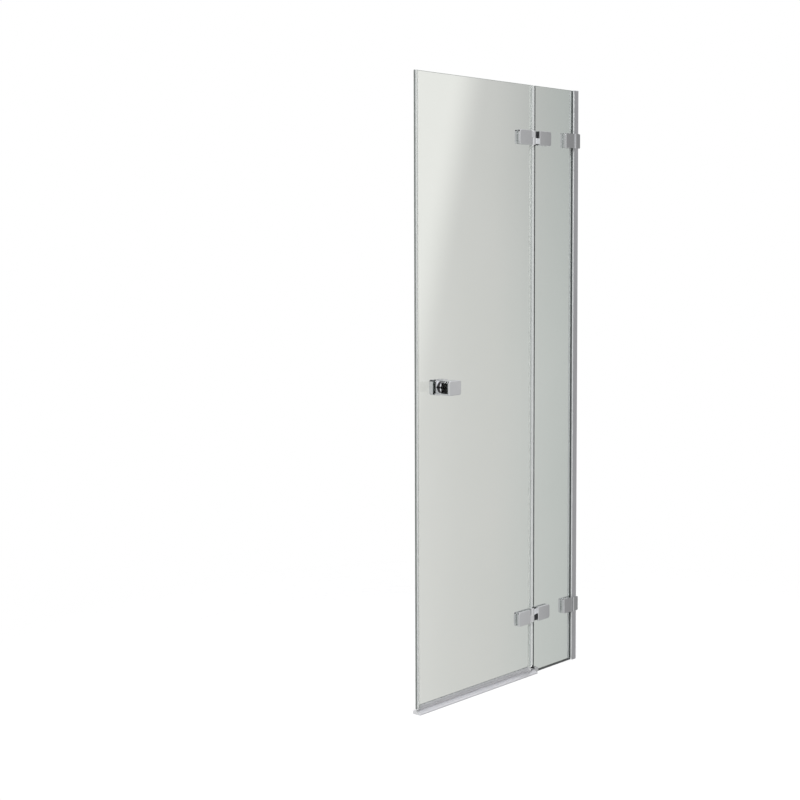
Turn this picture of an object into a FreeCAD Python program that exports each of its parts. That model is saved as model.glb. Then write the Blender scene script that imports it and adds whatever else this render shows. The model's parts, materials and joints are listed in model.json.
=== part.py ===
import FreeCAD, Part
import math
import os

# A hinged glass shower door beside a fixed glass panel, in millimetres.
# X runs along the glass: zero is the wall, and the door lies towards minus X.
# Y runs through the glass: zero is the middle of the panes, and minus Y is outside.
# Z runs up: zero is the surface that the rail, the profile and the fixed panel stand on.

# Panes
overall_height = 2000.0
glass_thickness = 8.0
glass_edge_bevel = 0.8
fixed_glass_width = 230.0
door_glass_width = 590.0
fixed_glass_lift = 4.0
door_glass_lift = 14.0
wall_gap = 9.0
pane_gap = 18.0

# Room left between pieces
cut_overrun = 5.0
plane_tolerance = 0.001
screw_clearance = 0.05
pivot_clearance = 0.05
thrust_clearance = 0.05
seal_clearance = 0.3

# Wall profile, a channel that holds the fixed pane's edge
profile_width = 23.0
profile_depth = 26.0
profile_wall = 2.0
profile_corner_radius = 1.0
profile_cap_thickness = 2.0
profile_cap_plug = 8.0
profile_cap_clearance = 0.15
glazing_bite = 8.0
glazing_recess = 0.5
glazing_groove_depth = 1.5
wall_hole_radius = 3.0
wall_hole_end_distance = 119.0

# Hinges
upper_fitting_drop = 174.0
lower_fitting_height = 202.0
hinge_height = 48.0
leaf_length = 66.0
leaf_distance = 22.0
inner_leaf_distance = 12.0
outer_plate_thickness = 9.0
inner_plate_thickness = 8.0
plate_corner_radius = 8.0
plate_root_radius = 2.0
plate_edge_radius = 1.5
barrel_radius = 10.5
barrel_edge_radius = 1.0
web_root = 8.0
web_end_drop = 4.5
liner_wall = 2.0
pin_radius = 4.0
pin_cap = 4.0
pin_end_room = 0.5
bush_wall = 2.0
washer_thickness = 1.0
washer_margin = 0.5
notch_clearance = 2.0
notch_corner_radius = 3.0

# Clamping of hinge plates and brackets through the glass
clamp_gasket_thickness = 1.0
clamp_gasket_margin = 1.5
clamp_screw_radius = 3.0
clamp_screw_head_radius = 6.0
clamp_screw_head_depth = 3.5
clamp_screw_bite = 6.0
clamp_screw_tip_room = 0.5
clamp_socket_radius = 2.3
clamp_socket_depth = 2.2
clamp_screw_margin = 24.0
clamp_screw_pitch = 24.0
clamp_hole_radius = 6.0

# Wall brackets
bracket_height = 50.0
bracket_glass_length = 55.0
bracket_glass_thickness = 12.0
bracket_wall_thickness = 8.0
bracket_step_overlap = 3.0
bracket_corner_radius = 6.0
bracket_root_radius = 2.0
bracket_edge_radius = 1.2
bracket_screw_margin = 13.0
bracket_screw_pitch = 28.0
leg_screw_radius = 2.0
leg_screw_head_radius = 4.0
leg_screw_head_depth = 2.5
leg_screw_bite = 6.0
leg_screw_wall_distance = 8.0

# Door knob, outside and inside
knob_free_edge_distance = 111.0
knob_height = 1022.0
knob_head_width = 60.0
knob_head_height = 46.0
knob_head_thickness = 32.0
knob_corner_radius = 8.0
knob_edge_radius = 2.5
knob_neck_radius = 19.0
knob_neck_length = 21.0
knob_base_width = 60.0
knob_base_height = 49.0
knob_base_thickness = 7.0
knob_base_edge_radius = 1.0
knob_inner_thickness = 16.0
knob_washer_radius = 21.0
knob_washer_thickness = 1.0
knob_stud_radius = 4.0
knob_stud_outer_bite = 18.0
knob_stud_inner_bite = 10.0
knob_stud_end_room = 1.0
knob_hole_radius = 6.5

# Seals clipped on the door pane
seal_wall = 1.5
seal_leg = 10.0
closing_bulb_radius = 2.6
closing_bulb_wall = 0.7
hinge_seal_start = 25.0
hinge_fin_thickness = 1.6
bottom_seal_leg = 11.0
bottom_seal_end_distance = 8.0
bottom_lip_thickness = 1.2

# Rail under the door, with its end cap and the foot clip of the fixed pane
rail_height = 10.0
rail_inner_reach = 7.0
rail_flat_reach = 5.0
rail_outer_reach = 23.0
rail_nose = 2.5
rail_wall = 1.4
rail_edge_radius = 1.0
rail_free_end_overhang = 8.0
rail_cap_thickness = 3.0
rail_cap_plug = 8.0
rail_cap_clearance = 0.15
clip_lead = 2.0
clip_length = 22.0
clip_depth = 18.0
clip_height = 17.0
clip_arch_radius = 8.0
sill_lip_thickness = 1.2
sill_lip_height = 1.0

# Places that follow from the sizes above
half_glass = glass_thickness / 2
fixed_glass_right = -wall_gap
fixed_glass_left = fixed_glass_right - fixed_glass_width
door_glass_right = fixed_glass_left - pane_gap
door_glass_left = door_glass_right - door_glass_width
pivot_x = fixed_glass_left - pane_gap / 2
knob_x = door_glass_left + knob_free_edge_distance
clip_left = fixed_glass_left - clip_lead
clip_right = clip_left + clip_length
rail_left = door_glass_left - rail_free_end_overhang
clamp_face = half_glass + clamp_gasket_thickness
leaf_end = leaf_distance + leaf_length
web_end = leaf_distance + web_root
web_top = hinge_height / 2 - web_end_drop
pocket_depth = web_end + screw_clearance + liner_wall
pocket_half_height = web_top + screw_clearance + liner_wall
notch_depth = barrel_radius + notch_clearance
notch_half_height = hinge_height / 2 + notch_clearance
fitting_heights = {"upper": overall_height - upper_fitting_drop, "lower": lower_fitting_height}
# Screw holes spread evenly along the wall profile, the first and last near its ends.
wall_hole_count = 4
# The door carries the outer half of each barrel: the top half above and the bottom half below.
door_halves = {"upper": 1, "lower": -1}

origin = FreeCAD.Vector(0, 0, 0)
x_axis = FreeCAD.Vector(1, 0, 0)
y_axis = FreeCAD.Vector(0, 1, 0)
z_axis = FreeCAD.Vector(0, 0, 1)


def block(x_span, y_span, z_span):
    """A box between three pairs of limits."""
    sizes = [span[1] - span[0] for span in (x_span, y_span, z_span)]
    return Part.makeBox(*sizes, FreeCAD.Vector(x_span[0], y_span[0], z_span[0]))


def rod(radius, start, end):
    """A round bar between two points."""
    along = end - start
    return Part.makeCylinder(radius, along.Length, start, along)


def rounded_face(corners):
    """A flat face through (point, radius) corners, each rounded by an arc where its radius isn't zero."""
    bends = []
    for index, (point, radius) in enumerate(corners):
        before = (corners[index - 1][0] - point).normalize()
        after = (corners[(index + 1) % len(corners)][0] - point).normalize()
        if radius == 0:
            bends.append((point, None, point))
            continue
        half_angle = before.getAngle(after) / 2
        reach = radius / math.tan(half_angle)
        inward = (before + after).normalize()
        middle = point + inward * (radius / math.sin(half_angle) - radius)
        bends.append((point + before * reach, middle, point + after * reach))
    edges = []
    for index, (start, middle, end) in enumerate(bends):
        last_end = bends[index - 1][2]
        if last_end.distanceToPoint(start) > plane_tolerance:
            edges.append(Part.makeLine(last_end, start))
        if middle is not None:
            edges.append(Part.Arc(start, middle, end).toShape())
    return Part.Face(Part.Wire(edges))


def plate(x_span, y_span, z_span, low_radius, high_radius):
    """A plate across Y whose corners at the low and the high X end have their own radii."""
    corners = [
        (FreeCAD.Vector(x_span[0], y_span[0], z_span[0]), low_radius),
        (FreeCAD.Vector(x_span[1], y_span[0], z_span[0]), high_radius),
        (FreeCAD.Vector(x_span[1], y_span[0], z_span[1]), high_radius),
        (FreeCAD.Vector(x_span[0], y_span[0], z_span[1]), low_radius),
    ]
    return rounded_face(corners).extrude(y_axis * (y_span[1] - y_span[0]))


def round_face_edges(shape, y, radius):
    """Round every edge that lies wholly on one plane across Y."""
    edges = []
    for edge in shape.Edges:
        box = edge.BoundBox
        if max(abs(box.YMin - y), abs(box.YMax - y)) < plane_tolerance:
            edges.append(edge)
    return shape.makeFillet(radius, edges)


def cut_all(shape, tools):
    """A shape less every tool."""
    for tool in tools:
        shape = shape.cut(tool)
    return shape


def pane(x_span, z_span):
    """A pane of glass with bevelled edges."""
    glass = block(x_span, (-half_glass, half_glass), z_span)
    return glass.makeChamfer(glass_edge_bevel, glass.Edges)


def clamp_screw_places(first, pitch):
    """Distances of a clamp's two screws along the glass."""
    return [first, first + pitch]


leaf_screws = clamp_screw_places(leaf_distance + clamp_screw_margin, clamp_screw_pitch)
bracket_screws = clamp_screw_places(
    -profile_width - bracket_screw_margin - bracket_screw_pitch, bracket_screw_pitch
)


def clamp_screw(x, clearance):
    """A countersunk socket screw across the glass, its head inside; clearance makes it a cutting tool."""
    head_face = clamp_face + inner_plate_thickness
    tip = -clamp_face - clamp_screw_bite - (clamp_screw_tip_room if clearance else 0)
    shank = rod(
        clamp_screw_radius + clearance, FreeCAD.Vector(x, head_face, 0), FreeCAD.Vector(x, tip, 0)
    )
    head = Part.makeCone(
        clamp_screw_head_radius + clearance,
        clamp_screw_radius + clearance,
        clamp_screw_head_depth,
        FreeCAD.Vector(x, head_face, 0),
        -y_axis,
    )
    screw = shank.fuse(head).removeSplitter()
    if clearance:
        return screw
    corners = []
    for step in range(6):
        angle = math.pi * step / 3
        across = FreeCAD.Vector(math.cos(angle), 0, math.sin(angle)) * clamp_socket_radius
        corners.append((FreeCAD.Vector(x, head_face, 0) + across, 0))
    socket = rounded_face(corners).extrude(-y_axis * clamp_socket_depth)
    return screw.cut(socket)


def clamp_gaskets(outer_span, inner_span, z_span, screw_places):
    """The two thin pads between the glass and the plates that clamp it, outside and inside."""
    z_inset = (z_span[0] + clamp_gasket_margin, z_span[1] - clamp_gasket_margin)
    holes = []
    for x in screw_places:
        ends = FreeCAD.Vector(x, -clamp_face, 0), FreeCAD.Vector(x, clamp_face, 0)
        holes.append(rod(clamp_screw_radius + screw_clearance, *ends))
    pads = []
    for x_span, y_span in (
        (outer_span, (-clamp_face, -half_glass)),
        (inner_span, (half_glass, clamp_face)),
    ):
        x_inset = (x_span[0] + clamp_gasket_margin, x_span[1] - clamp_gasket_margin)
        pads.append(cut_all(block(x_inset, y_span, z_inset), holes))
    return Part.makeCompound(pads)


def glass_clamp_holes(screw_places):
    """Round holes through the glass for a clamp's screws."""
    holes = []
    for x in screw_places:
        start = FreeCAD.Vector(x, -half_glass - cut_overrun, 0)
        holes.append(rod(clamp_hole_radius, start, FreeCAD.Vector(x, half_glass + cut_overrun, 0)))
    return holes


def leaf_web(start, clearance):
    """The tapered web from half of a barrel to under its plate; clearance makes it a cutting tool."""
    corners = [
        (0, -barrel_radius),
        (leaf_distance, -clamp_face),
        (web_end + clearance, -clamp_face),
        (web_end + clearance, half_glass),
        (0, half_glass),
    ]
    bottom = start - clearance
    plan = rounded_face([(FreeCAD.Vector(x, y, bottom), 0) for x, y in corners])
    return plan.extrude(z_axis * (web_top + clearance - bottom))


def leaf_liner(start):
    """The block that fills the pocket in the glass around a leaf's web and keeps metal off the glass."""
    body = plate(
        (notch_depth, pocket_depth),
        (-half_glass, half_glass),
        (-pocket_half_height, pocket_half_height),
        0,
        notch_corner_radius,
    )
    return body.cut(leaf_web(start, screw_clearance))


def leaf_outer(start, bore_radius):
    """A hinge's outer plate, web and half of the barrel, pivot at the origin, pane towards plus X."""
    half = hinge_height / 2
    front = -clamp_face - outer_plate_thickness
    x_span = (leaf_distance, leaf_end)
    face = plate(x_span, (-clamp_face, front), (-half, half), plate_root_radius, plate_corner_radius)
    face = round_face_edges(face, front, plate_edge_radius)
    barrel = rod(barrel_radius, z_axis * start, z_axis * half)
    rims = [edge for edge in barrel.Edges if len(edge.Vertexes) == 1 and edge.BoundBox.ZMin > start]
    barrel = barrel.makeFillet(barrel_edge_radius, rims)
    leaf = face.fuse([leaf_web(start, 0), barrel]).removeSplitter()
    bore_end = half - pin_cap + pin_end_room
    bore = rod(bore_radius, z_axis * (start - cut_overrun), z_axis * bore_end)
    return cut_all(leaf, [bore] + [clamp_screw(x, screw_clearance) for x in leaf_screws])


def leaf_inner():
    """A hinge's clamp plate on the inside of the glass."""
    half = hinge_height / 2
    back = clamp_face + inner_plate_thickness
    x_span = (inner_leaf_distance, leaf_end)
    face = plate(x_span, (clamp_face, back), (-half, half), plate_root_radius, plate_corner_radius)
    face = round_face_edges(face, back, plate_edge_radius)
    return cut_all(face, [clamp_screw(x, screw_clearance) for x in leaf_screws])


def place_leaf(shape, side, half, height):
    """Turn a leaf piece to its side of the pivot and its half of the barrel, and set it at its height."""
    placed = shape.copy()
    if side < 0:
        placed = placed.mirror(origin, x_axis)
    if half < 0:
        placed = placed.mirror(origin, z_axis)
    placed.translate(FreeCAD.Vector(pivot_x, 0, height))
    return placed


def hinge_nodes(name):
    """Every piece of one hinge: two clamped leaves with liners, and the barrel's pin, bush and washer."""
    height = fitting_heights[name]
    door_half = door_halves[name]
    half = hinge_height / 2
    fixed_start = washer_thickness / 2
    door_start = fixed_start + thrust_clearance
    bush_radius = pin_radius + pivot_clearance + bush_wall
    gaskets = clamp_gaskets(
        (pocket_depth, leaf_end), (inner_leaf_distance, leaf_end), (-half, half), leaf_screws
    )
    screws = Part.makeCompound([clamp_screw(x, 0) for x in leaf_screws])
    leaves = {
        "fixed": (1, -door_half, fixed_start, pin_radius + screw_clearance),
        "door": (-1, door_half, door_start, bush_radius + screw_clearance),
    }
    nodes = {}
    for side_name, (side, side_half, start, bore_radius) in leaves.items():
        prefix = f"{name}_hinge_{side_name}"
        nodes[f"{prefix}_leaf"] = place_leaf(leaf_outer(start, bore_radius), side, side_half, height)
        nodes[f"{prefix}_liner"] = place_leaf(leaf_liner(start), side, side_half, height)
        nodes[f"{prefix}_clamp_plate"] = place_leaf(leaf_inner(), side, side_half, height)
        nodes[f"{prefix}_gaskets"] = place_leaf(gaskets, side, side_half, height)
        nodes[f"{prefix}_screws"] = place_leaf(screws, side, side_half, height)
    pin_end = z_axis * (half - pin_cap)
    pin = rod(pin_radius, -pin_end, pin_end)
    bush_start = z_axis * door_start
    bush_end = z_axis * (half - pin_cap + pin_end_room)
    overrun = z_axis * cut_overrun
    pin_room = rod(pin_radius + pivot_clearance, bush_start - overrun, bush_end + overrun)
    bush = rod(bush_radius, bush_start, bush_end).cut(pin_room)
    washer_top = z_axis * (washer_thickness / 2)
    washer = rod(barrel_radius - washer_margin, -washer_top, washer_top)
    washer = washer.cut(rod(pin_radius + pivot_clearance, -pin_end, pin_end))
    nodes[f"{name}_hinge_pin"] = place_leaf(pin, 1, 1, height)
    nodes[f"{name}_hinge_bush"] = place_leaf(bush, 1, door_half, height)
    nodes[f"{name}_hinge_washer"] = place_leaf(washer, 1, 1, height)
    return nodes


def hinge_cuts(side):
    """What both hinges take out of the pane on one side of the pivot: notch, pocket and two holes each."""
    tools = []
    cuts = ((notch_depth, notch_half_height), (pocket_depth, pocket_half_height))
    for height in fitting_heights.values():
        rooms = []
        for depth, half in cuts:
            y_span = (-half_glass - cut_overrun, half_glass + cut_overrun)
            rooms.append(plate((-depth, depth), y_span, (-half, half), 0, notch_corner_radius))
        for tool in rooms + glass_clamp_holes(leaf_screws):
            tools.append(place_leaf(tool, side, 1, height))
    return tools


def leg_screw(clearance):
    """The short screw that holds a bracket to the profile's outer leg, its head inside the channel."""
    leg_inside = -profile_depth / 2 + profile_wall
    tip = -profile_depth / 2 - leg_screw_bite - (clamp_screw_tip_room if clearance else 0)
    head_start = FreeCAD.Vector(-leg_screw_wall_distance, leg_inside + leg_screw_head_depth, 0)
    seat = FreeCAD.Vector(-leg_screw_wall_distance, leg_inside, 0)
    shank = rod(leg_screw_radius + clearance, seat, FreeCAD.Vector(-leg_screw_wall_distance, tip, 0))
    if clearance:
        return shank
    return shank.fuse(rod(leg_screw_head_radius, head_start, seat)).removeSplitter()


def bracket_outer():
    """A stepped bracket: its thin end clamps the glass and its thick end covers the wall profile."""
    half = bracket_height / 2
    glass_end = -profile_width - bracket_glass_length
    step = -profile_width - bracket_step_overlap
    glass_front = -clamp_face - bracket_glass_thickness
    wall_front = -profile_depth / 2 - bracket_wall_thickness
    plan = [
        (glass_end, -clamp_face, 0),
        (glass_end, glass_front, bracket_edge_radius),
        (step, glass_front, 0),
        (step, wall_front, bracket_edge_radius),
        (0, wall_front, bracket_edge_radius),
        (0, -profile_depth / 2, 0),
        (-profile_width, -profile_depth / 2, 0),
        (-profile_width, -clamp_face, 0),
    ]
    corners = [(FreeCAD.Vector(x, y, -half), radius) for x, y, radius in plan]
    body = rounded_face(corners).extrude(z_axis * bracket_height)
    y_span = (wall_front, -clamp_face)
    outline = plate((glass_end, 0), y_span, (-half, half), bracket_root_radius, bracket_corner_radius)
    body = body.common(outline)
    tools = [clamp_screw(x, screw_clearance) for x in bracket_screws]
    return cut_all(body, tools + [leg_screw(screw_clearance)])


def bracket_inner():
    """A bracket's clamp plate on the inside of the glass."""
    half = bracket_height / 2
    back = clamp_face + inner_plate_thickness
    x_span = (-profile_width - bracket_glass_length, -profile_width)
    face = plate(x_span, (clamp_face, back), (-half, half), bracket_root_radius, bracket_root_radius)
    face = round_face_edges(face, back, bracket_edge_radius)
    return cut_all(face, [clamp_screw(x, screw_clearance) for x in bracket_screws])


def bracket_nodes(name):
    """Every piece of one wall bracket."""
    half = bracket_height / 2
    x_span = (-profile_width - bracket_glass_length, -profile_width)
    screws = [clamp_screw(x, 0) for x in bracket_screws] + [leg_screw(0)]
    nodes = {
        f"{name}_wall_bracket": bracket_outer(),
        f"{name}_bracket_clamp_plate": bracket_inner(),
        f"{name}_bracket_gaskets": clamp_gaskets(x_span, x_span, (-half, half), bracket_screws),
        f"{name}_bracket_screws": Part.makeCompound(screws),
    }
    for shape in nodes.values():
        shape.translate(z_axis * fitting_heights[name])
    return nodes


def raised(tools):
    """Copies of bracket tools at both bracket heights."""
    copies = []
    for height in fitting_heights.values():
        for tool in tools:
            copy = tool.copy()
            copy.translate(z_axis * height)
            copies.append(copy)
    return copies


def wall_profile():
    """The channel on the wall, with screw holes through its web and one hole per bracket in its leg."""
    half = profile_depth / 2
    mouth_half = half - profile_wall
    plan = [
        (0, -half, profile_corner_radius),
        (0, half, profile_corner_radius),
        (-profile_width, half, 0),
        (-profile_width, mouth_half, 0),
        (-profile_wall, mouth_half, 0),
        (-profile_wall, -mouth_half, 0),
        (-profile_width, -mouth_half, 0),
        (-profile_width, -half, 0),
    ]
    corners = [(FreeCAD.Vector(x, y, 0), radius) for x, y, radius in plan]
    length = overall_height - profile_cap_thickness
    channel = rounded_face(corners).extrude(z_axis * length)
    holes = []
    pitch = (length - wall_hole_end_distance - wall_hole_end_distance) / (wall_hole_count - 1)
    for step in range(wall_hole_count):
        z = wall_hole_end_distance + step * pitch
        start = FreeCAD.Vector(-profile_wall - cut_overrun, 0, z)
        holes.append(rod(wall_hole_radius, start, FreeCAD.Vector(cut_overrun, 0, z)))
    return cut_all(channel, holes + raised([leg_screw(screw_clearance)]))


def profile_cap():
    """The cap on top of the channel, with a plug that grips the channel's web behind the pane."""
    top = overall_height
    bottom = top - profile_cap_thickness
    half = profile_depth / 2
    lid = block((-profile_width, 0), (-half, half), (bottom, top))
    pane_room = block(
        (-profile_width - cut_overrun, fixed_glass_right + profile_cap_clearance),
        (-half_glass - profile_cap_clearance, half_glass + profile_cap_clearance),
        (bottom - cut_overrun, top + cut_overrun),
    )
    plug_half = half - profile_wall - profile_cap_clearance
    plug = block(
        (fixed_glass_right + profile_cap_clearance, -profile_wall - profile_cap_clearance),
        (-plug_half, plug_half),
        (bottom - profile_cap_plug, bottom),
    )
    return lid.cut(pane_room).fuse(plug).removeSplitter()


def glazing_gaskets():
    """The two soft strips that hold the fixed pane in the channel, each with a groove along its face."""
    inner_half = profile_depth / 2 - profile_wall
    x_span = (-profile_width + glazing_recess, -profile_width + glazing_recess + glazing_bite)
    z_span = (fixed_glass_lift, overall_height - profile_cap_thickness)
    groove_middle = (half_glass + inner_half) / 2
    groove_half = (inner_half - half_glass) / 6
    strips = []
    for side in (-1, 1):
        y_span = sorted((side * half_glass, side * inner_half))
        groove_y = (side * groove_middle - groove_half, side * groove_middle + groove_half)
        groove_z = (z_span[0] - cut_overrun, z_span[1] + cut_overrun)
        groove = block((x_span[0] - cut_overrun, x_span[0] + glazing_groove_depth), groove_y, groove_z)
        strips.append(block(x_span, y_span, z_span).cut(groove))
    return Part.makeCompound(strips)


def fixed_glass():
    """The pane beside the door, notched and drilled for its fittings."""
    glass = pane((fixed_glass_left, fixed_glass_right), (fixed_glass_lift, overall_height))
    return cut_all(glass, hinge_cuts(1) + raised(glass_clamp_holes(bracket_screws)))


def door_glass():
    """The moving pane, notched and drilled for its hinges and drilled for its knob."""
    glass = pane((door_glass_left, door_glass_right), (door_glass_lift, overall_height))
    start = FreeCAD.Vector(knob_x, -half_glass - cut_overrun, knob_height)
    end = FreeCAD.Vector(knob_x, half_glass + cut_overrun, knob_height)
    return cut_all(glass, hinge_cuts(-1) + [rod(knob_hole_radius, start, end)])


def knob_point(y):
    """The point of the knob's axis at one depth."""
    return FreeCAD.Vector(knob_x, y, knob_height)


def knob_block(width, height, y_span, corner_radius):
    """A block centred on the knob's axis."""
    x_span = (knob_x - width / 2, knob_x + width / 2)
    z_span = (knob_height - height / 2, knob_height + height / 2)
    return plate(x_span, y_span, z_span, corner_radius, corner_radius)


def knob_nodes():
    """The door knob: washers, base, neck and head outside, knob inside, and the stud through them all."""
    washer_face = half_glass + knob_washer_thickness
    base_face = washer_face + knob_base_thickness
    neck_face = base_face + knob_neck_length
    head_face = neck_face + knob_head_thickness
    inner_face = washer_face + knob_inner_thickness
    stud_outer = neck_face + knob_stud_outer_bite
    stud_inner = washer_face + knob_stud_inner_bite
    bore = rod(
        knob_stud_radius + screw_clearance,
        knob_point(-stud_outer - knob_stud_end_room),
        knob_point(stud_inner + knob_stud_end_room),
    )
    head = knob_block(knob_head_width, knob_head_height, (-neck_face, -head_face), knob_corner_radius)
    base = knob_block(knob_base_width, knob_base_height, (-washer_face, -base_face), knob_corner_radius)
    inner = knob_block(knob_base_width, knob_base_height, (washer_face, inner_face), knob_corner_radius)
    washers = []
    for side in (-1, 1):
        washer = rod(knob_washer_radius, knob_point(side * half_glass), knob_point(side * washer_face))
        washers.append(washer.cut(bore))
    return {
        "knob_head": round_face_edges(head, -head_face, knob_edge_radius).cut(bore),
        "knob_neck": rod(knob_neck_radius, knob_point(-base_face), knob_point(-neck_face)).cut(bore),
        "knob_base_plate": round_face_edges(base, -base_face, knob_base_edge_radius).cut(bore),
        "knob_inner_plate": round_face_edges(inner, inner_face, knob_edge_radius).cut(bore),
        "knob_stud": rod(knob_stud_radius, knob_point(-stud_outer), knob_point(stud_inner)),
        "knob_washers": Part.makeCompound(washers),
    }


def seal_clip(edge_point, outward, length, leg):
    """A U-shaped strip over a pane's edge: outward points away from the pane and length runs along it."""
    wide = half_glass + seal_wall
    section = [
        (wide, -leg),
        (wide, seal_wall),
        (-wide, seal_wall),
        (-wide, -leg),
        (-half_glass, -leg),
        (-half_glass, 0),
        (half_glass, 0),
        (half_glass, -leg),
    ]
    corners = [(edge_point + y_axis * across + outward * out, 0) for across, out in section]
    return rounded_face(corners).extrude(length)


def closing_seal():
    """The strip on the door's free edge, with a hollow bulb that closes against the opposite wall."""
    bottom = FreeCAD.Vector(door_glass_left, 0, door_glass_lift)
    length = z_axis * (overall_height - door_glass_lift)
    clip = seal_clip(bottom, -x_axis, length, seal_leg)
    bulb_middle = bottom - x_axis * (seal_wall + closing_bulb_radius - closing_bulb_wall)
    bulb = rod(closing_bulb_radius, bulb_middle, bulb_middle + length)
    hollow_radius = closing_bulb_radius - closing_bulb_wall
    overrun = z_axis * cut_overrun
    hollow = rod(hollow_radius, bulb_middle - overrun, bulb_middle + length + overrun)
    return clip.fuse(bulb).removeSplitter().cut(hollow)


def hinge_side_seals():
    """The strips on the door's hinge edge, between the hinges, with a fin that reaches the fixed pane."""
    stops = [hinge_seal_start]
    for height in sorted(fitting_heights.values()):
        stops += [height - notch_half_height, height + notch_half_height]
    stops.append(overall_height)
    fin_end = fixed_glass_left - seal_clearance
    strips = []
    for bottom, top in zip(stops[0::2], stops[1::2]):
        edge_point = FreeCAD.Vector(door_glass_right, 0, bottom)
        clip = seal_clip(edge_point, x_axis, z_axis * (top - bottom), seal_leg)
        fin = block(
            (door_glass_right + seal_wall / 2, fin_end),
            (-hinge_fin_thickness / 2, hinge_fin_thickness / 2),
            (bottom, top),
        )
        strips.append(clip.fuse(fin).removeSplitter())
    return Part.makeCompound(strips)


def bottom_seal():
    """The strip under the door pane, with a lip just above the rail."""
    left = door_glass_left + seal_leg + seal_clearance
    right = door_glass_right - bottom_seal_end_distance
    edge_point = FreeCAD.Vector(left, 0, door_glass_lift)
    clip = seal_clip(edge_point, -z_axis, x_axis * (right - left), bottom_seal_leg)
    lip_front = -half_glass - seal_wall
    lip = block(
        (left, right),
        (lip_front, lip_front + bottom_lip_thickness),
        (rail_height + seal_clearance, door_glass_lift - seal_wall / 2),
    )
    return clip.fuse(lip).removeSplitter()


def rail_outline(x):
    """The rail's outer section: upright inside, flat under the door and sloping down to the outside."""
    section = [
        (rail_inner_reach, 0, 0),
        (rail_inner_reach, rail_height, rail_edge_radius),
        (-rail_flat_reach, rail_height, rail_edge_radius),
        (-rail_outer_reach, rail_nose, rail_edge_radius),
        (-rail_outer_reach, 0, 0),
    ]
    return rounded_face([(FreeCAD.Vector(x, y, z), radius) for y, z, radius in section])


def rail_hollow(x, wall):
    """The rail's hollow section, one wall inside the outer one."""
    slope = (rail_height - rail_nose) / (rail_outer_reach - rail_flat_reach)
    drop = wall * math.hypot(1, slope)
    ridge = -rail_flat_reach + (drop - wall) / slope
    toe = -rail_flat_reach - (rail_height - drop - wall) / slope
    section = [
        (rail_inner_reach - wall, wall),
        (rail_inner_reach - wall, rail_height - wall),
        (ridge, rail_height - wall),
        (toe, wall),
    ]
    return rounded_face([(FreeCAD.Vector(x, y, z), 0) for y, z in section])


def threshold_rail():
    """The hollow sloping rail under the door, from its free end to the foot clip."""
    length = clip_left - rail_left
    hollow = rail_hollow(rail_left - cut_overrun, rail_wall)
    hollow = hollow.extrude(x_axis * (length + cut_overrun + cut_overrun))
    return rail_outline(rail_left).extrude(x_axis * length).cut(hollow)


def rail_end_cap():
    """The cap on the rail's free end, with a plug in the hollow."""
    lid = rail_outline(rail_left - rail_cap_thickness).extrude(x_axis * rail_cap_thickness)
    plug = rail_hollow(rail_left, rail_wall + rail_cap_clearance).extrude(x_axis * rail_cap_plug)
    return lid.fuse(plug).removeSplitter()


def foot_clip():
    """The arched block that holds the fixed pane's lower corner and ends the rail."""
    half = clip_depth / 2
    outline = [
        (clip_left, 0, 0),
        (clip_right, 0, 0),
        (clip_right, clip_height, clip_arch_radius),
        (clip_left, clip_height, clip_arch_radius),
    ]
    corners = [(FreeCAD.Vector(x, -half, z), radius) for x, z, radius in outline]
    body = rounded_face(corners).extrude(y_axis * clip_depth)
    slot = block(
        (fixed_glass_left, clip_right + cut_overrun),
        (-half_glass, half_glass),
        (fixed_glass_lift, clip_height + cut_overrun),
    )
    return body.cut(slot)


def sill_seal():
    """The trough-shaped strip under the fixed pane."""
    x_span = (clip_right, -profile_width)
    wide = half_glass + sill_lip_thickness
    trough = block(x_span, (-wide, wide), (0, fixed_glass_lift + sill_lip_height))
    bed = block(
        (x_span[0] - cut_overrun, x_span[1] + cut_overrun),
        (-half_glass, half_glass),
        (fixed_glass_lift, fixed_glass_lift + sill_lip_height + cut_overrun),
    )
    return trough.cut(bed)


def all_nodes():
    """Every piece of the shower door, by name."""
    nodes = {
        "wall_profile": wall_profile(),
        "profile_cap": profile_cap(),
        "glazing_gaskets": glazing_gaskets(),
        "fixed_glass": fixed_glass(),
        "sill_seal": sill_seal(),
        "foot_clip": foot_clip(),
        "threshold_rail": threshold_rail(),
        "rail_end_cap": rail_end_cap(),
        "door_glass": door_glass(),
        "closing_seal": closing_seal(),
        "hinge_side_seals": hinge_side_seals(),
        "bottom_seal": bottom_seal(),
    }
    nodes.update(knob_nodes())
    for name in fitting_heights:
        nodes.update(bracket_nodes(name))
        nodes.update(hinge_nodes(name))
    return nodes


os.makedirs("parts", exist_ok=True)
for node_name, node_shape in all_nodes().items():
    node_shape.exportStep(f"parts/{node_name}.step")
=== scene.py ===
import json
import math

import bpy
from mathutils import Matrix, Vector


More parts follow.
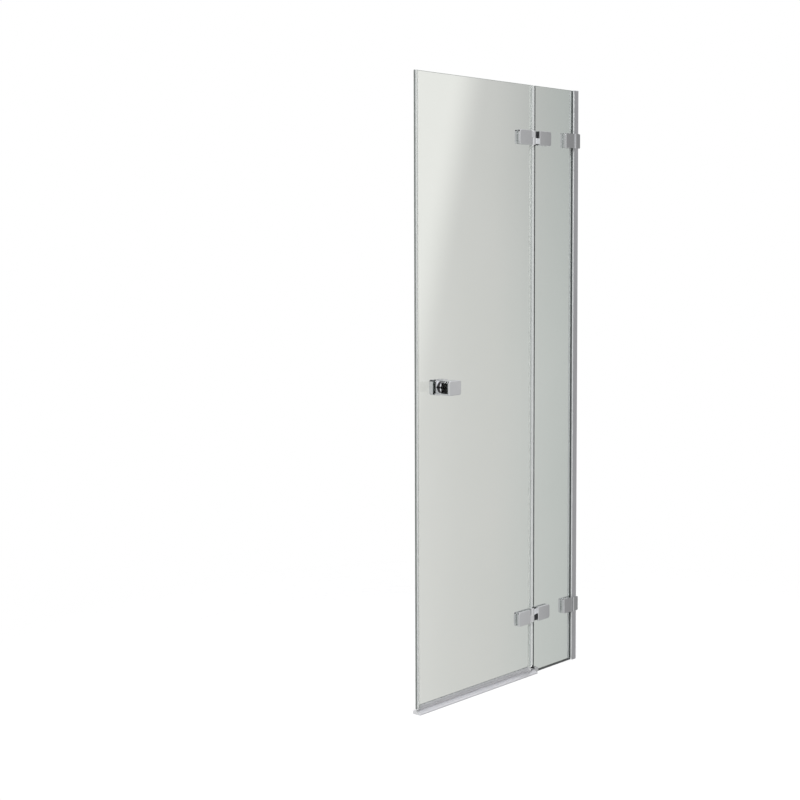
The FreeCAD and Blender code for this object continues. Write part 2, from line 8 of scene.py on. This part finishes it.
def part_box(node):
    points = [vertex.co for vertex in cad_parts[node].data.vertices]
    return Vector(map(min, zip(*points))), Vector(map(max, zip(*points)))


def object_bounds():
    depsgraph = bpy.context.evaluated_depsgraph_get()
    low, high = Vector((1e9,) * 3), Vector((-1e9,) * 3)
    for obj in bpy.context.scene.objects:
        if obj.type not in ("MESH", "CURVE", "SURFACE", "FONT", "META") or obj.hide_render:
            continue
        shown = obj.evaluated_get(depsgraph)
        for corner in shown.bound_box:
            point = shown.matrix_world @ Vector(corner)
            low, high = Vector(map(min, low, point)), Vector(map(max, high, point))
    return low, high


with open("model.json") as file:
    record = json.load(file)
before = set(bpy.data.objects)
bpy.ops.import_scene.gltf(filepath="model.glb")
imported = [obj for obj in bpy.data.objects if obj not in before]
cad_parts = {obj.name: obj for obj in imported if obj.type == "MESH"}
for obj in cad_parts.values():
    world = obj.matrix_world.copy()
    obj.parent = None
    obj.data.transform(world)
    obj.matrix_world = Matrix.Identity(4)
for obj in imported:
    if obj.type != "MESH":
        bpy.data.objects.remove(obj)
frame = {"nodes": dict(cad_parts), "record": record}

nodes = frame["nodes"]
cad_low, cad_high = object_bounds()

# Node tree helpers

# The sockets of a colour mix, by number
mix_share, mix_first, mix_second, mix_result = 0, 6, 7, 2
even = (1, 1, 1)


def add_node(tree, kind, **settings):
    """A new shader node with its plain settings."""
    node = tree.nodes.new(kind)
    for name, value in settings.items():
        setattr(node, name, value)
    return node


def is_socket(value):
    """Whether a value is a socket, and not a plain number or colour."""
    return isinstance(value, bpy.types.NodeSocket)


def feed(tree, source, target):
    """Link an output to an input, or set the input to a plain value."""
    if is_socket(source):
        tree.links.new(source, target)
    else:
        target.default_value = source


def feed_colour(tree, source, target):
    """Link a colour, or set the input to plain red, green and blue."""
    feed(tree, source if is_socket(source) else (*source, 1.0), target)


def math_node(tree, operation, first, second=0.0):
    """One arithmetic step."""
    node = add_node(tree, "ShaderNodeMath", operation=operation)
    feed(tree, first, node.inputs[0])
    feed(tree, second, node.inputs[1])
    return node.outputs[0]


def weighted_sum(tree, first, second, first_share):
    """Two values added, the first by its share and the second by the rest."""
    first_part = math_node(tree, "MULTIPLY", first, first_share)
    second_part = math_node(tree, "MULTIPLY", second, 1.0 - first_share)
    return math_node(tree, "ADD", first_part, second_part)


def spread(tree, value, from_low, from_high, to_low=0.0, to_high=1.0, smooth=False):
    """A value carried from one range to another, held at both ends."""
    kind = "SMOOTHSTEP" if smooth else "LINEAR"
    node = add_node(tree, "ShaderNodeMapRange", interpolation_type=kind)
    feed(tree, value, node.inputs["Value"])
    node.inputs["From Min"].default_value = from_low
    node.inputs["From Max"].default_value = from_high
    node.inputs["To Min"].default_value = to_low
    node.inputs["To Max"].default_value = to_high
    return node.outputs["Result"]


def blend_colours(tree, share, first, second):
    """A colour between two colours."""
    node = add_node(tree, "ShaderNodeMix", data_type="RGBA")
    feed(tree, share, node.inputs[mix_share])
    feed_colour(tree, first, node.inputs[mix_first])
    feed_colour(tree, second, node.inputs[mix_second])
    return node.outputs[mix_result]


def axes(tree, kind):
    """The X, Y and Z of one kind of coordinates."""
    place = add_node(tree, "ShaderNodeTexCoord")
    parts = add_node(tree, "ShaderNodeSeparateXYZ")
    tree.links.new(place.outputs[kind], parts.inputs["Vector"])
    return parts.outputs


def noise(tree, stretch, scale, detail, roughness=0.5):
    """Noise over the piece's own coordinates, in metres, stretched along its axes."""
    place = add_node(tree, "ShaderNodeTexCoord")
    mapping = add_node(tree, "ShaderNodeMapping")
    mapping.inputs["Scale"].default_value = stretch
    tree.links.new(place.outputs["Object"], mapping.inputs["Vector"])
    texture = add_node(tree, "ShaderNodeTexNoise")
    texture.inputs["Scale"].default_value = scale
    texture.inputs["Detail"].default_value = detail
    texture.inputs["Roughness"].default_value = roughness
    tree.links.new(mapping.outputs["Vector"], texture.inputs["Vector"])
    return texture.outputs["Fac"]


def bump(tree, height, strength, distance):
    """A normal raised by a height."""
    node = add_node(tree, "ShaderNodeBump")
    node.inputs["Strength"].default_value = strength
    node.inputs["Distance"].default_value = distance
    tree.links.new(height, node.inputs["Height"])
    return node.outputs["Normal"]


def new_material(name):
    """A material with one Principled shader: the material, its tree and the shader."""
    material = bpy.data.materials.new(name)
    material.use_nodes = True
    tree = material.node_tree
    tree.nodes.clear()
    output = add_node(tree, "ShaderNodeOutputMaterial")
    shader = add_node(tree, "ShaderNodeBsdfPrincipled")
    tree.links.new(shader.outputs["BSDF"], output.inputs["Surface"])
    return material, tree, shader


def finish_surface(tree, shader, texture, rough_low, rough_high, strength, distance):
    """Roughness and bump that both follow one texture."""
    tree.links.new(spread(tree, texture, 0.3, 0.7, rough_low, rough_high), shader.inputs["Roughness"])
    tree.links.new(bump(tree, texture, strength, distance), shader.inputs["Normal"])


def let_light_through(tree, shader, tint):
    """Lamps and bounced light pass straight through a clear piece, so what is behind it stays lit."""
    output = next(node for node in tree.nodes if node.bl_idname == "ShaderNodeOutputMaterial")
    ray = add_node(tree, "ShaderNodeLightPath")
    clear = add_node(tree, "ShaderNodeBsdfTransparent")
    feed_colour(tree, tint, clear.inputs["Color"])
    surface = shader.outputs["BSDF"]
    for kind in ("Is Shadow Ray", "Is Diffuse Ray"):
        mix = add_node(tree, "ShaderNodeMixShader")
        tree.links.new(ray.outputs[kind], mix.inputs["Fac"])
        tree.links.new(surface, mix.inputs[1])
        tree.links.new(clear.outputs["BSDF"], mix.inputs[2])
        surface = mix.outputs["Shader"]
    tree.links.new(surface, output.inputs["Surface"])


# Materials, with lengths in metres

colour_border = 0.0003
seal_border = 0.0002


def glass_material():
    """Clear toughened glass, faintly grey green on its faces and deeper on its ground edges."""
    material, tree, shader = new_material("shower_glass")
    edge_tint, light_tint = (0.64, 0.71, 0.69), (0.86, 0.88, 0.87)
    flat = spread(tree, math_node(tree, "ABSOLUTE", axes(tree, "Normal")["Y"]), 0.75, 0.95)
    cloud = spread(tree, noise(tree, even, 2.2, 2.0), 0.35, 0.65)
    face_tint = blend_colours(tree, cloud, (0.795, 0.818, 0.804), (0.812, 0.832, 0.820))
    tree.links.new(blend_colours(tree, flat, edge_tint, face_tint), shader.inputs["Base Color"])
    smear = noise(tree, (1, 1, 0.4), 9.0, 4.0)
    polish = spread(tree, smear, 0.4, 0.75, 0.0, 0.02)
    edge_grind = spread(tree, flat, 0.0, 1.0, 0.3, 0.0)
    tree.links.new(math_node(tree, "ADD", polish, edge_grind), shader.inputs["Roughness"])
    shader.inputs["Transmission Weight"].default_value = 1.0
    shader.inputs["IOR"].default_value = 1.48
    let_light_through(tree, shader, light_tint)
    return material


def chrome_material(name, painted_shade_start=None):
    """Bright chrome plating with faint polishing marks, and past a depth a near-black band of painted shade
    where the neck meets its base.
    """
    material, tree, shader = new_material(name)
    cloud = noise(tree, even, 60.0, 3.0)
    colour = blend_colours(tree, cloud, (0.80, 0.81, 0.83), (0.86, 0.865, 0.875))
    shader.inputs["Metallic"].default_value = 1.0
    if painted_shade_start is not None:
        depth = axes(tree, "Object")["Y"]
        # Past this depth the colour turns near-black and not metallic: painted shade at the neck's end
        # toward the base plate.
        outside_painted_shade = spread(tree, depth, painted_shade_start, painted_shade_start + colour_border, 1.0, 0.0)
        colour = blend_colours(tree, outside_painted_shade, (0.012, 0.012, 0.013), colour)
        tree.links.new(outside_painted_shade, shader.inputs["Metallic"])
    tree.links.new(colour, shader.inputs["Base Color"])
    marks = noise(tree, (1, 1, 7), 240.0, 5.0, 0.6)
    finish_surface(tree, shader, marks, 0.035, 0.085, 0.03, 0.0002)
    return material


def drawn_aluminium_material(name, stretch, dark, light):
    """Satin anodised aluminium with fine lines along the length it was drawn in."""
    material, tree, shader = new_material(name)
    lines = noise(tree, stretch, 420.0, 6.0, 0.65)
    cloud = noise(tree, even, 6.0, 2.0)
    share = spread(tree, weighted_sum(tree, lines, cloud, 0.7), 0.35, 0.65)
    tree.links.new(blend_colours(tree, share, dark, light), shader.inputs["Base Color"])
    shader.inputs["Metallic"].default_value = 1.0
    finish_surface(tree, shader, lines, 0.24, 0.38, 0.08, 0.0002)
    return material


def steel_material():
    """Stainless fasteners, finely turned."""
    material, tree, shader = new_material("stainless_steel")
    rings = noise(tree, (1, 6, 1), 500.0, 4.0)
    colour = blend_colours(tree, rings, (0.52, 0.52, 0.53), (0.64, 0.64, 0.65))
    tree.links.new(colour, shader.inputs["Base Color"])
    shader.inputs["Metallic"].default_value = 1.0
    finish_surface(tree, shader, rings, 0.2, 0.34, 0.05, 0.0002)
    return material


def clear_seal_material(name, stretch, body, rim, solid_low, solid_high, web=None, bulb=None, tip=None):
    """Clear soft plastic strip: faint face on and greyer at its rims, with fine lines along its length.

    Web gives the glass edge's place along X, the side past it, and the milkier colour and solidity there.
    Bulb and tip are distances from that edge where the strip takes its rim's colour: past the edge in the
    bulb, and over the glass at the end of the inner leg.
    """
    material, tree, shader = new_material(name)
    lines = noise(tree, stretch, 9.0, 1.0)
    weight = add_node(tree, "ShaderNodeLayerWeight")
    turned = spread(tree, weight.outputs["Facing"], 0.35, 0.85)
    pale = tuple(level * 1.06 for level in body)
    colour = blend_colours(tree, turned, blend_colours(tree, lines, body, pale), rim)
    solid = spread(tree, turned, 0.0, 1.0, solid_low, solid_high)
    if web is not None:
        edge, side, web_colour, web_solid = web
        place = axes(tree, "Object")
        beyond = math_node(tree, "MULTIPLY", math_node(tree, "SUBTRACT", place["X"], edge), side)
        outside = spread(tree, beyond, -seal_border, seal_border)
        colour = blend_colours(tree, outside, colour, web_colour)
        solid = math_node(tree, "MAXIMUM", solid, math_node(tree, "MULTIPLY", outside, web_solid))
        if bulb is not None:
            in_bulb = spread(tree, beyond, bulb - seal_border, bulb + seal_border)
            colour = blend_colours(tree, in_bulb, colour, rim)
        if tip is not None:
            inner = spread(tree, place["Y"], 0.0, seal_border)
            past_tip = spread(tree, beyond, -tip - seal_border, -tip + seal_border, 1.0, 0.0)
            in_tip = math_node(tree, "MULTIPLY", past_tip, inner)
            colour = blend_colours(tree, in_tip, colour, rim)
            solid = math_node(tree, "MAXIMUM", solid, math_node(tree, "MULTIPLY", in_tip, web_solid))
    tree.links.new(colour, shader.inputs["Base Color"])
    tree.links.new(solid, shader.inputs["Alpha"])
    finish_surface(tree, shader, lines, 0.18, 0.30, 0.01, 0.0005)
    shader.inputs["IOR"].default_value = 1.46
    return material


def soft_material(name, dark, light, rough_low, rough_high, grain, join_shade=None):
    """Rubber or moulded plastic with a fine grain, and with painted shade: darker within a distance of the
    glass, along its join with the glass.
    """
    material, tree, shader = new_material(name)
    fine = noise(tree, even, grain, 4.0)
    wide = noise(tree, even, 14.0, 2.0)
    share = spread(tree, weighted_sum(tree, fine, wide, 0.5), 0.35, 0.65)
    colour = blend_colours(tree, share, dark, light)
    if join_shade is not None:
        # Within this distance of the glass the colour turns dark: painted shade along the join with the
        # glass.
        distance, join_shade_colour = join_shade
        depth = math_node(tree, "ABSOLUTE", axes(tree, "Object")["Y"])
        in_join_shade = spread(tree, depth, distance, distance + colour_border, 1.0, 0.0)
        colour = blend_colours(tree, in_join_shade, colour, join_shade_colour)
    tree.links.new(colour, shader.inputs["Base Color"])
    finish_surface(tree, shader, fine, rough_low, rough_high, 0.12, 0.0003)
    return material


# The neck's last length toward its base is painted near-black: painted shade where it meets the base plate.
painted_shade_length = 0.006
neck_chrome = chrome_material("polished_chrome_neck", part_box("knob_neck")[1].y - painted_shade_length)
upright_aluminium = drawn_aluminium_material(
    "satin_aluminium_upright", (1, 1, 0.004), (0.62, 0.62, 0.64), (0.72, 0.72, 0.74)
)
rail_aluminium = drawn_aluminium_material(
    "satin_aluminium_rail", (0.004, 1, 1), (0.74, 0.74, 0.76), (0.82, 0.82, 0.84)
)
upright_lines, level_lines = (28, 28, 0.03), (0.03, 28, 28)
door_low, door_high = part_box("door_glass")
clear_seal = clear_seal_material(
    "clear_seal", upright_lines, (0.58, 0.60, 0.59), (0.42, 0.44, 0.43), 0.22, 0.46,
    web=(door_high.x, 1, (0.64, 0.66, 0.65), 0.7),
)
closing_seal = clear_seal_material(
    "clear_seal_closing", upright_lines, (0.62, 0.64, 0.63), (0.16, 0.175, 0.165), 0.10, 0.7,
    web=(door_low.x, -1, (0.68, 0.70, 0.69), 0.7), bulb=0.0034, tip=0.0088,
)
drip_seal = clear_seal_material(
    "clear_seal_drip", level_lines, (0.50, 0.50, 0.515), (0.36, 0.36, 0.37), 0.5, 0.7
)
cap_plastic = soft_material("cap_plastic", (0.40, 0.40, 0.42), (0.46, 0.46, 0.48), 0.38, 0.52, 900.0)
# The gasket's dark band next to the glass is painted shade at the join.
glazing_rubber = soft_material(
    "glazing_rubber", (0.60, 0.61, 0.61), (0.67, 0.68, 0.68), 0.5, 0.65, 700.0,
    join_shade=(0.006, (0.11, 0.12, 0.12)),
)
sill_rubber = soft_material(
    "sill_rubber", (0.045, 0.05, 0.05), (0.075, 0.08, 0.08), 0.5, 0.7, 700.0
)
clamp_rubber = soft_material(
    "clamp_rubber", (0.44, 0.45, 0.45), (0.52, 0.53, 0.53), 0.55, 0.7, 800.0
)
# The liner is near-black: painted shade, a dark piece standing in for the shaded gap it fills.
liner_plastic = soft_material(
    "liner_plastic", (0.012, 0.012, 0.013), (0.022, 0.022, 0.024), 0.4, 0.6, 900.0
)
nylon = soft_material("nylon", (0.74, 0.74, 0.71), (0.82, 0.82, 0.79), 0.36, 0.5, 600.0)

slot_materials = {
    "clear_glass": glass_material(),
    "polished_chrome": chrome_material("polished_chrome"),
    "satin_aluminium": upright_aluminium,
    "cap_plastic": cap_plastic,
    "clear_seal": clear_seal,
    "glazing_rubber": glazing_rubber,
    "sill_rubber": sill_rubber,
    "clamp_rubber": clamp_rubber,
    "stainless_steel": steel_material(),
    "nylon": nylon,
    "liner_plastic": liner_plastic,
}
own_materials = {
    "threshold_rail": rail_aluminium,
    "closing_seal": closing_seal,
    "bottom_seal": drip_seal,
    "knob_neck": neck_chrome,
}
slot_of_node = {part["node"]: part["material_slot"] for part in frame["record"]["subparts"]}
for name, piece in nodes.items():
    for place in piece.material_slots:
        place.material = own_materials.get(name, slot_materials[slot_of_node[name]])

# Studio: the directly seen background is white, and everything else sees a soft grey room

# Levels or colours by direction, in degrees from plus X towards plus Y
# The backdrop through the glass, low and high
low_backdrop = (
    (-180, 1.0), (-75, 0.85), (-40, 0.78), (-20, 0.74), (10, 0.64), (33, (0.62, 0.655, 0.635)),
    (36, (0.66, 0.68, 0.66)), (38, (0.74, 0.735, 0.71)), (42, (0.85, 0.84, 0.815)), (180, 1.0),
)
high_backdrop = (
    (-180, 1.0), (-75, 0.85), (-40, 0.78), (-20, 0.74), (10, 0.62), (33, (0.56, 0.595, 0.58)),
    (35.7, (0.555, 0.58, 0.565)), (36.5, (0.61, 0.615, 0.60)), (38, (0.715, 0.71, 0.69)),
    (42, (0.85, 0.84, 0.815)), (180, 1.0),
)
# The room, low and high
low_room = (
    (-180, 0.92), (-125, 0.88), (-100, 0.62), (-75, 0.60), (-44, 0.58), (-41, 0.56), (-38.5, 0.54),
    (-36.5, 0.50), (-35.4, 0.31), (-34.8, 0.24), (-20, 0.45), (10, 0.55), (38, 0.70), (50, 0.58),
    (90, 0.66), (128, 0.60), (150, 0.92), (180, 0.92),
)
high_room = (
    (-180, 1.0), (-125, 0.95), (-100, 0.66), (-75, 0.62), (-44, 0.58), (-41, 0.55), (-38.5, 0.50),
    (-36.5, 0.44), (-35.4, 0.30), (-34.8, 0.22), (-20, 0.45), (10, 0.55), (38, 0.60), (42, 0.85),
    (55, 0.70), (90, 0.74), (128, 0.68), (150, 1.0), (180, 1.0),
)
# Where low turns into high, and where the room turns into its ceiling, as sines of the rise
middle_rise = (-0.09, 0.12)
ceiling_rise = (0.35, 0.62)
ceiling_colour = (1.04, 1.03, 1.06)
# The backdrop's bright corner: the degrees over which it begins, and its slant in degrees per rise
corner_start = (39.4, 40.9)
corner_slant = 11
corner_colour = (1.025, 1.015, 0.98)
# Patches of the room: degrees, rises, level, and whether only light mirrored inside glass meets them
patches = (
    ((141.6, 150), (-0.4, 0.2), 0.6, False),
    ((132, 141.6), (-0.45, 0.36), 0.004, True),
    ((-142.5, -136), (-0.3, 0.2), 0.004, False),
    ((60, 150), (0.32, 0.97), 0.004, False),
    ((-152, -142.5), (-0.32, -0.12), 0.3, False),
    ((-150, -143.5), (0.02, 0.13), 0.5, False),
)
patch_border_turn, patch_border_rise = 0.001, 0.02


def turn_share(degrees):
    """A direction as its share of the full turn."""
    return degrees / 360 + 0.5


def grey(level):
    """A colour with the same red, green and blue."""
    return (level, level, level)


def direction_ramp(tree, azimuth, stops):
    """A colour by direction, from pairs of degrees and a level or a colour."""
    ramp = add_node(tree, "ShaderNodeValToRGB")
    ramp.color_ramp.interpolation = "EASE"
    elements = ramp.color_ramp.elements
    while len(elements) > 1:
        elements.remove(elements[-1])
    for index, (degrees, shade) in enumerate(stops):
        colour = shade if isinstance(shade, tuple) else grey(shade)
        position = turn_share(degrees)
        element = elements[0] if index == 0 else elements.new(position)
        element.position = position
        element.color = (*colour, 1.0)
    tree.links.new(azimuth, ramp.inputs["Fac"])
    return ramp.outputs["Color"]


def window(tree, value, low, high, border):
    """One between two limits and zero outside them, with soft borders."""
    rise = spread(tree, value, low - border, low + border, smooth=True)
    fall = spread(tree, value, high - border, high + border, 1.0, 0.0, smooth=True)
    return math_node(tree, "MULTIPLY", rise, fall)


def add_patches(tree, room, azimuth, rise, returned):
    """The room's colour with its darker and paler patches."""
    for turns, rises, level, only_returned in patches:
        patch = math_node(
            tree,
            "MULTIPLY",
            window(tree, azimuth, *map(turn_share, turns), patch_border_turn),
            window(tree, rise, *rises, patch_border_rise),
        )
        if only_returned:
            patch = math_node(tree, "MULTIPLY", patch, returned)
        room = blend_colours(tree, patch, room, grey(level))
    return room


def build_world():
    """White past the object, a graded backdrop through the glass, and a grey room for the rest."""
    world = bpy.data.worlds.new("studio")
    bpy.context.scene.world = world
    world.use_nodes = True
    tree = world.node_tree
    tree.nodes.clear()
    output = add_node(tree, "ShaderNodeOutputWorld")
    place = axes(tree, "Generated")
    rise = place["Z"]
    azimuth = math_node(tree, "ARCTAN2", place["Y"], place["X"])
    azimuth = spread(tree, azimuth, -math.pi, math.pi)
    height = spread(tree, rise, *middle_rise, smooth=True)
    backdrop = blend_colours(
        tree,
        height,
        direction_ramp(tree, azimuth, low_backdrop),
        direction_ramp(tree, azimuth, high_backdrop),
    )
    slanted = math_node(tree, "ADD", azimuth, math_node(tree, "MULTIPLY", rise, corner_slant / 360))
    corner = spread(tree, slanted, *map(turn_share, corner_start), smooth=True)
    backdrop = blend_colours(tree, corner, backdrop, corner_colour)
    room = blend_colours(
        tree,
        height,
        direction_ramp(tree, azimuth, low_room),
        direction_ramp(tree, azimuth, high_room),
    )
    ceiling = spread(tree, rise, *ceiling_rise, smooth=True)
    room = blend_colours(tree, ceiling, room, ceiling_colour)
    ray = add_node(tree, "ShaderNodeLightPath")
    transmitted = ray.outputs["Is Transmission Ray"]
    room = add_patches(tree, room, azimuth, rise, transmitted)
    mirrored = math_node(tree, "GREATER_THAN", ray.outputs["Glossy Depth"], 0.5)
    through = math_node(tree, "GREATER_THAN", transmitted, mirrored)
    shown = blend_colours(tree, through, room, backdrop)
    shown = blend_colours(tree, ray.outputs["Is Camera Ray"], shown, grey(1.0))
    light = add_node(tree, "ShaderNodeBackground")
    tree.links.new(shown, light.inputs["Color"])
    tree.links.new(light.outputs["Background"], output.inputs["Surface"])


def floor_material(radius):
    """A pale matt surface that fades out towards its rim."""
    material = bpy.data.materials.new("floor")
    material.use_nodes = True
    tree = material.node_tree
    tree.nodes.clear()
    output = add_node(tree, "ShaderNodeOutputMaterial")
    place = add_node(tree, "ShaderNodeTexCoord")
    length = add_node(tree, "ShaderNodeVectorMath", operation="LENGTH")
    tree.links.new(place.outputs["Object"], length.inputs[0])
    fade_start, fade_end = 0.5, radius * 0.97
    fade = spread(tree, length.outputs["Value"], fade_start, fade_end, smooth=True)
    matt = add_node(tree, "ShaderNodeBsdfDiffuse")
    feed_colour(tree, grey(0.6), matt.inputs["Color"])
    glow = add_node(tree, "ShaderNodeEmission")
    feed_colour(tree, grey(1.0), glow.inputs["Color"])
    glow.inputs["Strength"].default_value = 0.45
    both = add_node(tree, "ShaderNodeAddShader")
    tree.links.new(matt.outputs["BSDF"], both.inputs[0])
    tree.links.new(glow.outputs["Emission"], both.inputs[1])
    gone = add_node(tree, "ShaderNodeBsdfTransparent")
    mix = add_node(tree, "ShaderNodeMixShader")
    tree.links.new(fade, mix.inputs["Fac"])
    tree.links.new(both.outputs["Shader"], mix.inputs[1])
    tree.links.new(gone.outputs["BSDF"], mix.inputs[2])
    tree.links.new(mix.outputs["Shader"], output.inputs["Surface"])
    return material


def build_floor():
    """A round floor that keeps the shadow and fades out into the background."""
    radius, drop = 2.2, 0.001
    middle = (cad_low + cad_high) / 2
    bpy.ops.mesh.primitive_circle_add(
        vertices=96, radius=radius, fill_type="NGON", location=(middle.x, middle.y, -drop)
    )
    floor = bpy.context.object
    floor.name = "floor"
    floor.data.materials.append(floor_material(radius))
    floor.visible_glossy = False
    floor.visible_transmission = False


def build_lamp():
    """A soft square lamp above the front, which the camera and the mirroring pieces don't see."""
    place, target = Vector((-3.2, -2.6, 4.2)), Vector((-0.4, 0.0, 0.9))
    lamp = bpy.data.lights.new("key_lamp", "AREA")
    lamp.shape = "RECTANGLE"
    lamp.size = lamp.size_y = 2.4
    lamp.energy = 160.0
    holder = bpy.data.objects.new("key_lamp", lamp)
    bpy.context.scene.collection.objects.link(holder)
    turn = (target - place).to_track_quat("-Z", "Y").to_matrix().to_4x4()
    holder.matrix_world = Matrix.Translation(place) @ turn
    holder.visible_camera = False
    holder.visible_glossy = False


def build_camera():
    """The camera at the photograph's place: its turn, its fall below level and its lean in degrees."""
    place = (-4.304, -3.006, 1.451)
    yaw, pitch, roll = (math.radians(angle) for angle in (41.63, 4.21, -0.214))
    picture_pixels, focal_pixels = 800, 1487
    level = math.cos(pitch)
    forward = Vector((math.cos(yaw) * level, math.sin(yaw) * level, -math.sin(pitch)))
    right = Vector((math.sin(yaw), -math.cos(yaw), 0))
    up = right.cross(forward)
    turned_right = right * math.cos(roll) + up * math.sin(roll)
    turned_up = up * math.cos(roll) - right * math.sin(roll)
    data = bpy.data.cameras.new("camera")
    data.sensor_width = 36.0
    data.lens = focal_pixels / picture_pixels * data.sensor_width
    data.shift_y = -0.05
    camera = bpy.data.objects.new("camera", data)
    bpy.context.scene.collection.objects.link(camera)
    turn = Matrix((turned_right, turned_up, -forward)).transposed().to_4x4()
    camera.matrix_world = Matrix.Translation(place) @ turn
    bpy.context.scene.camera = camera


build_world()
build_floor()
build_lamp()
build_camera()
bpy.context.scene.view_settings.view_transform = "Standard"
